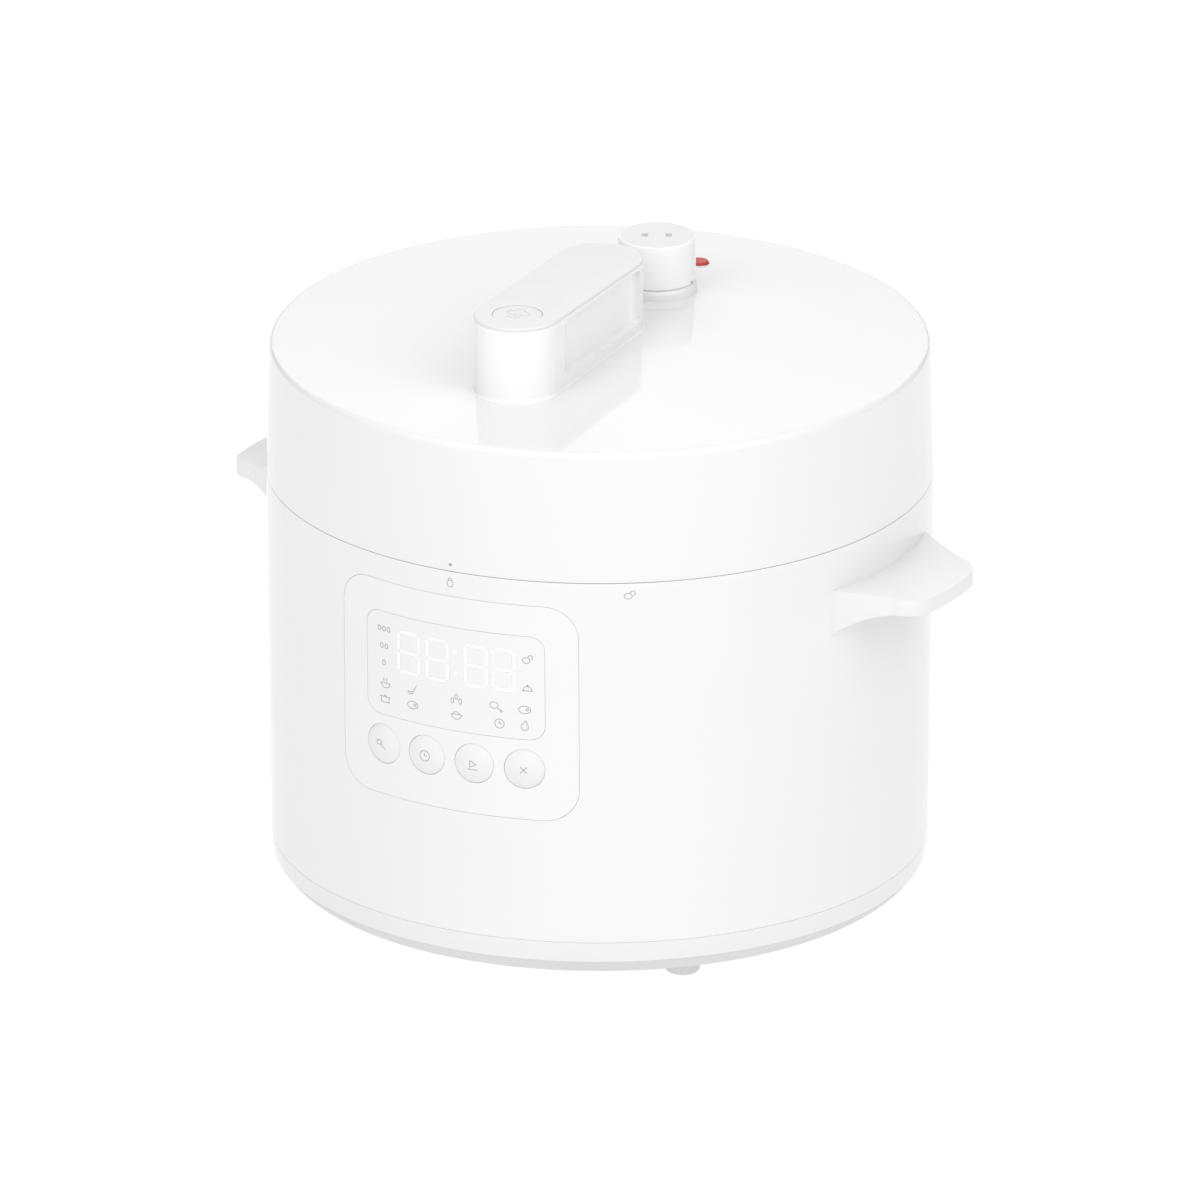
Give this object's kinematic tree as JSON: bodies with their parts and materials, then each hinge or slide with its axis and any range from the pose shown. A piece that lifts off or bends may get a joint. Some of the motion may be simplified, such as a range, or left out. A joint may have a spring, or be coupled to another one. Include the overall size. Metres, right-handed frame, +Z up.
{
  "type": "electric pressure cooker",
  "caption": "White round electric pressure cooker with bayonet lid, bar handle, steam release button, valve knob, inner pot, curved display panel with push buttons and two side handles.",
  "frame": {"origin": "on the ground under the centre of the pot", "axes": "+Z up, front panel towards -Y, right side handle towards +X"},
  "size_m": [0.3385, 0.28, 0.279],
  "materials": {
    "white_plastic": "gloss",
    "panel_plastic": "gloss",
    "matte_white": "satin",
    "stainless_steel": "brushed",
    "aluminium": "cast satin",
    "pot_coating": "non-stick coating",
    "circuit_board": "solder mask",
    "black_plastic": "matte",
    "brass": "bright",
    "clear_silicone": "translucent silicone",
    "red_float": "silicone cap",
    "display": "gloss",
    "wire_sleeve": "silicone sleeve"
  },
  "bodies": {
    "base": {"outer_housing": "white_plastic", "base_cover": "white_plastic", "feet": "white_plastic", "side_handle_right": "white_plastic", "side_handle_left": "white_plastic", "side_handle_screws": "stainless_steel", "upper_collar": "white_plastic", "outer_pot": "stainless_steel", "heating_plate": "aluminium", "sensor_bracket": "stainless_steel", "sensor_spring": "stainless_steel", "pressure_switch": "black_plastic", "thermal_fuse": "wire_sleeve", "control_panel": "panel_plastic", "display_window": "display", "button_mat": "clear_silicone", "control_board": "circuit_board", "digit_module": "panel_plastic", "tact_switches": "black_plastic", "panel_screws": "stainless_steel", "power_board": "circuit_board", "power_components": "black_plastic", "board_screws": "stainless_steel", "power_inlet": "black_plastic", "inlet_pins": "brass", "wiring_loom": "wire_sleeve", "ribbon_cable": "wire_sleeve", "cup_pocket": "white_plastic", "base_screws": "stainless_steel"},
    "pot": {"inner_pot": "pot_coating"},
    "seal": {"sealing_ring": "clear_silicone"},
    "lid": {"lid_cover": "white_plastic", "lid_handle": "white_plastic", "handle_cap": "matte_white", "button_spring": "stainless_steel", "lever_pin": "stainless_steel", "vent_pipe": "stainless_steel", "vent_nut": "stainless_steel", "valve_collar": "white_plastic", "float_sleeve": "clear_silicone", "metal_lid": "stainless_steel", "ring_rack": "stainless_steel", "anti_block_shield": "stainless_steel", "lid_screws": "stainless_steel", "lid_handle_screws": "stainless_steel"},
    "release_button": {"release_button": "matte_white"},
    "release_lever": {"release_lever": "white_plastic"},
    "valve_lifter": {"valve_lifter": "black_plastic"},
    "limit_valve": {"limit_valve": "matte_white", "valve_weight": "stainless_steel"},
    "float_valve": {"float_valve": "red_float"},
    "button_taste": {"button_taste": "panel_plastic"},
    "button_timer": {"button_timer": "panel_plastic"},
    "button_start": {"button_start": "panel_plastic"},
    "button_cancel": {"button_cancel": "panel_plastic"},
    "temp_sensor": {"temp_sensor": "aluminium"},
    "drip_cup": {"drip_cup": "white_plastic"}
  },
  "joints": [
    {"name": "pot_lift", "type": "slide", "parent": "base", "child": "pot", "axis": [0, 0, 1], "range_m": [0, 0.165]},
    {"name": "lid_lift", "type": "slide", "parent": "pot", "child": "seal", "axis": [0, 0, 1], "range_m": [0, 0.11]},
    {"name": "lid_turn", "type": "hinge", "parent": "seal", "child": "lid", "pos_m": [0, 0, 0.2], "axis": [0, 0, 1], "range_deg": [0, 32]},
    {"name": "release_button_press", "type": "slide", "parent": "lid", "child": "release_button", "axis": [0, 0, -1], "range_m": [0, 0.003], "stiffness_N_per_m": 900, "springref_m": -0.002, "deforming": ["button_spring"]},
    {"name": "release_lever_rock", "type": "hinge", "parent": "lid", "child": "release_lever", "pos_m": [0, -0.01, 0.2365], "axis": [1, 0, 0], "range_deg": [0, 3]},
    {"name": "valve_vent", "type": "slide", "parent": "lid", "child": "valve_lifter", "axis": [0, 0, 1], "range_m": [0, 0.0032]},
    {"name": "valve_pull", "type": "slide", "parent": "valve_lifter", "child": "limit_valve", "axis": [0, 0, 1], "range_m": [0, 0.03]},
    {"name": "float_rise", "type": "slide", "parent": "lid", "child": "float_valve", "axis": [0, 0, 1], "range_m": [0, 0.003]},
    {"name": "button_taste_press", "type": "slide", "parent": "base", "child": "button_taste", "axis": [0.236, 0.9718, 0], "range_m": [0, 0.001], "stiffness_N_per_m": 1500},
    {"name": "button_timer_press", "type": "slide", "parent": "base", "child": "button_timer", "axis": [0.0793, 0.9968, 0], "range_m": [0, 0.001], "stiffness_N_per_m": 1500},
    {"name": "button_start_press", "type": "slide", "parent": "base", "child": "button_start", "axis": [-0.0793, 0.9968, 0], "range_m": [0, 0.001], "stiffness_N_per_m": 1500},
    {"name": "button_cancel_press", "type": "slide", "parent": "base", "child": "button_cancel", "axis": [-0.236, 0.9718, 0], "range_m": [0, 0.001], "stiffness_N_per_m": 1500},
    {"name": "sensor_press", "type": "slide", "parent": "base", "child": "temp_sensor", "axis": [0, 0, -1], "range_m": [0, 0.002], "stiffness_N_per_m": 1500, "springref_m": -0.0015, "deforming": ["sensor_spring"]},
    {"name": "cup_slide", "type": "slide", "parent": "base", "child": "drip_cup", "axis": [0, 1, 0], "range_m": [0, 0.035]}
  ],
  "couplings": [
    {"joint": "release_lever_rock", "follows": "release_button_press", "rad_per_m": 15.015},
    {"joint": "valve_vent", "follows": "release_button_press", "ratio": 0.9459}
  ]
}
